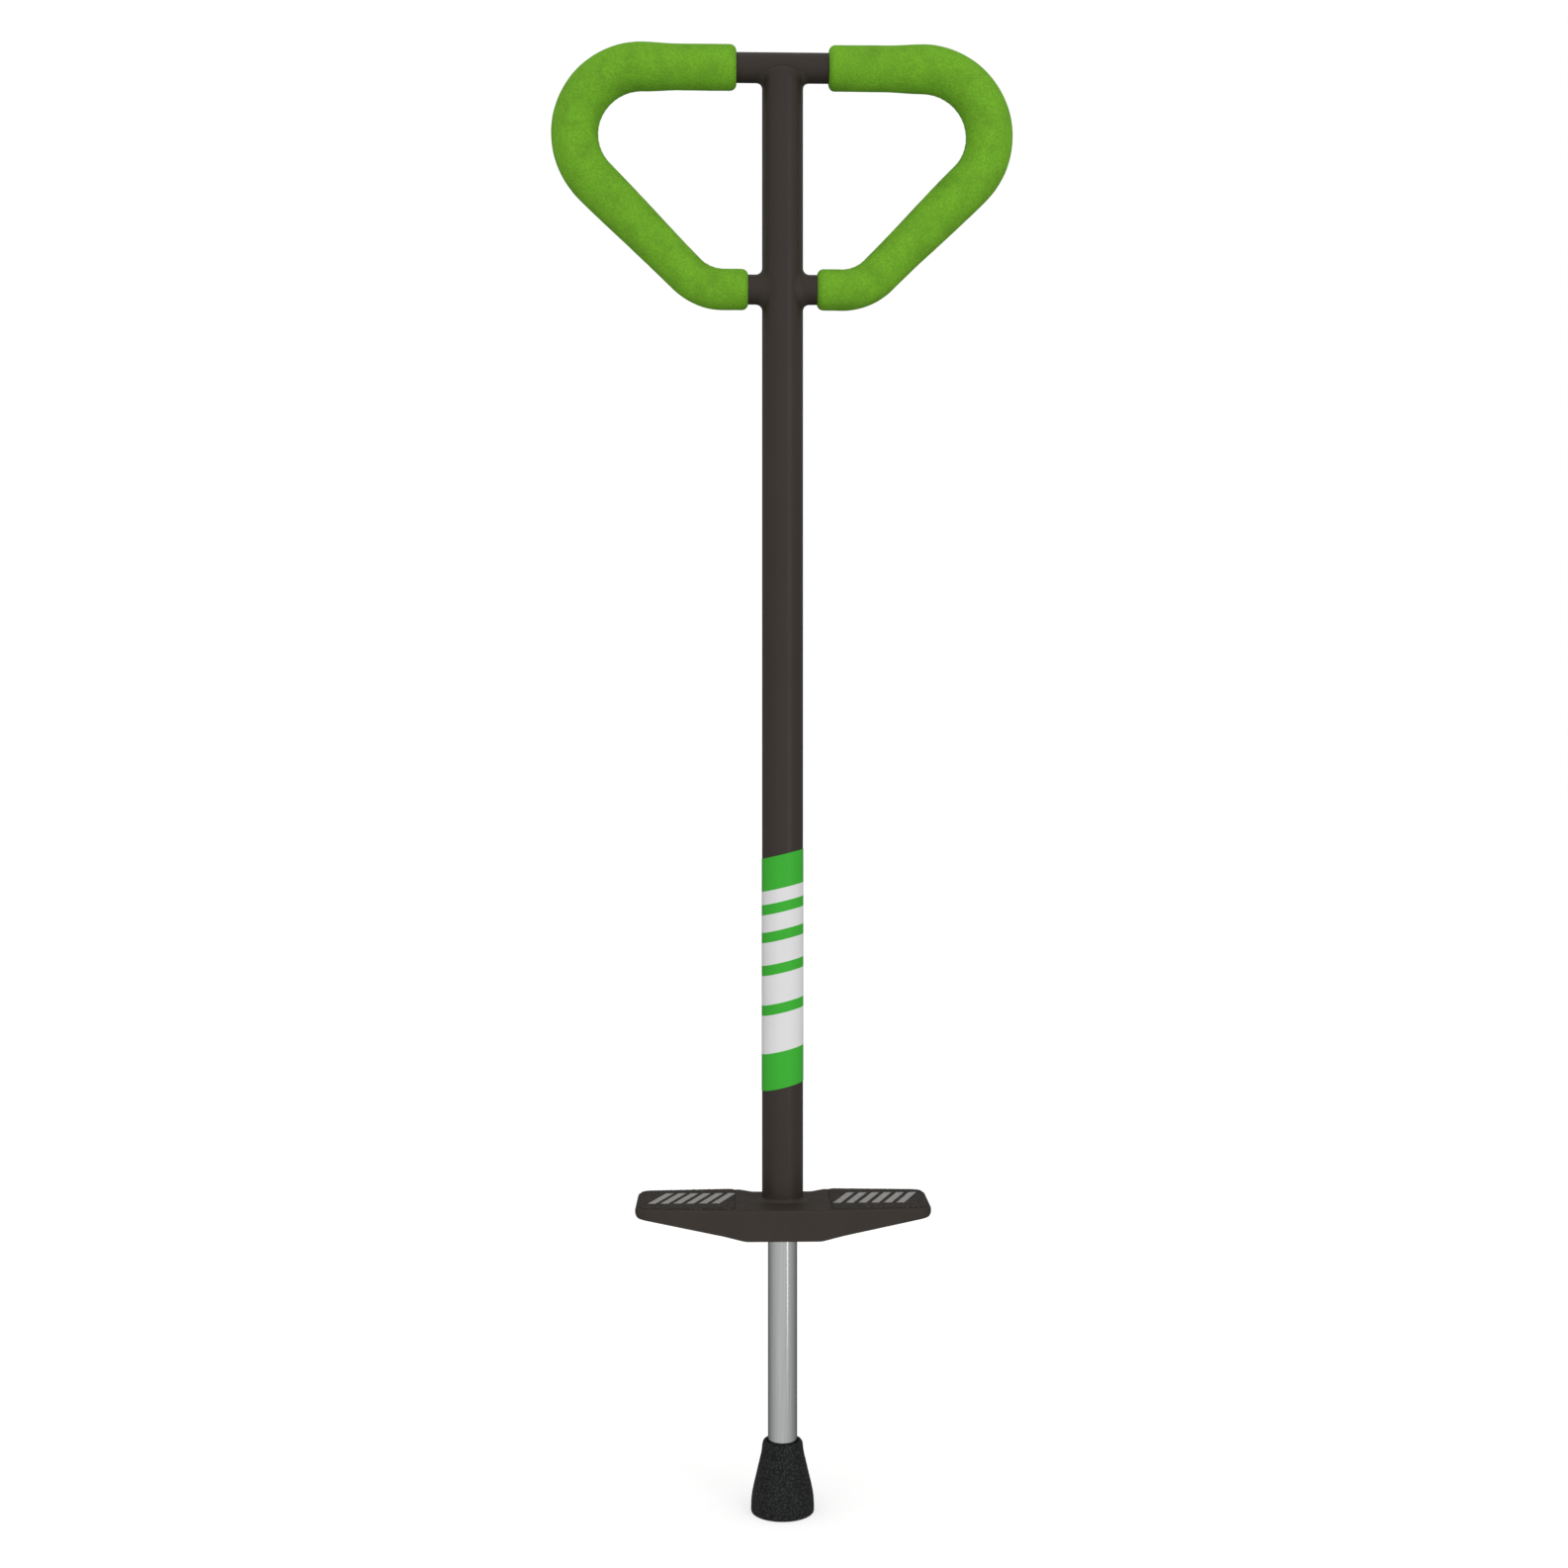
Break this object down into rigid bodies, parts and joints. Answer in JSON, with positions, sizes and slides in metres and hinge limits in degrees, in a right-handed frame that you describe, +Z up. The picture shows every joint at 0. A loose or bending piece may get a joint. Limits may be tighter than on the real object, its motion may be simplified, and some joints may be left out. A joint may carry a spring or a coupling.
{
  "type": "pogo stick",
  "caption": "Spring pogo stick: looped handlebar with foam grips, straight main tube, pressed footrest, sliding chromed shaft and a flared rubber tip.",
  "frame": {"origin": "on the floor under the centre of the rubber tip, on the main tube's axis", "axes": "+Z up along the main tube, +X along the handlebar and footrest, -Y the side that the rider's toes and the decal's seam-free front face"},
  "size_m": [0.3152, 0.0689, 1.001],
  "materials": {
    "frame_paint": "satin warm black paint",
    "shaft_chrome": "satin chrome",
    "grip_foam": "closed-cell foam, matte",
    "decal_film": "printed vinyl, green with white bars",
    "tread_grit": "coarse grip tape with grey bars",
    "tip_rubber": "matte moulded rubber",
    "bush_plastic": "moulded nylon",
    "spring_steel": "oiled spring steel",
    "zinc_steel": "zinc plated steel"
  },
  "bodies": {
    "plunger": {"shaft": "shaft_chrome", "piston": "bush_plastic", "piston_pin": "zinc_steel", "rebound_bumper": "tip_rubber", "shaft_plug": "bush_plastic", "tip_washer": "zinc_steel", "tip": "tip_rubber"},
    "spring_foot": {"lower_spring_seat": "zinc_steel"},
    "frame": {"main_tube": "frame_paint", "handlebar": "frame_paint", "handlebar_welds": "frame_paint", "left_grip": "grip_foam", "right_grip": "grip_foam", "tube_decal": "decal_film", "footrest": "frame_paint", "footrest_weld": "frame_paint", "left_tread": "tread_grit", "right_tread": "tread_grit", "lower_bush": "bush_plastic", "bush_screws": "zinc_steel", "stop_pin": "frame_paint", "upper_spring_seat": "zinc_steel", "main_spring": "spring_steel"}
  },
  "joints": [
    {"name": "swivel", "type": "hinge", "parent": "plunger", "child": "spring_foot", "pos_m": [0, 0, 0.29], "axis": [0, 0, 1], "continuous": true},
    {"name": "plunge", "type": "slide", "parent": "spring_foot", "child": "frame", "axis": [0, 0, -1], "range_m": [0, 0.11], "stiffness_N_per_m": 15000, "springref_m": -0.01, "deforming": ["main_spring"]}
  ]
}
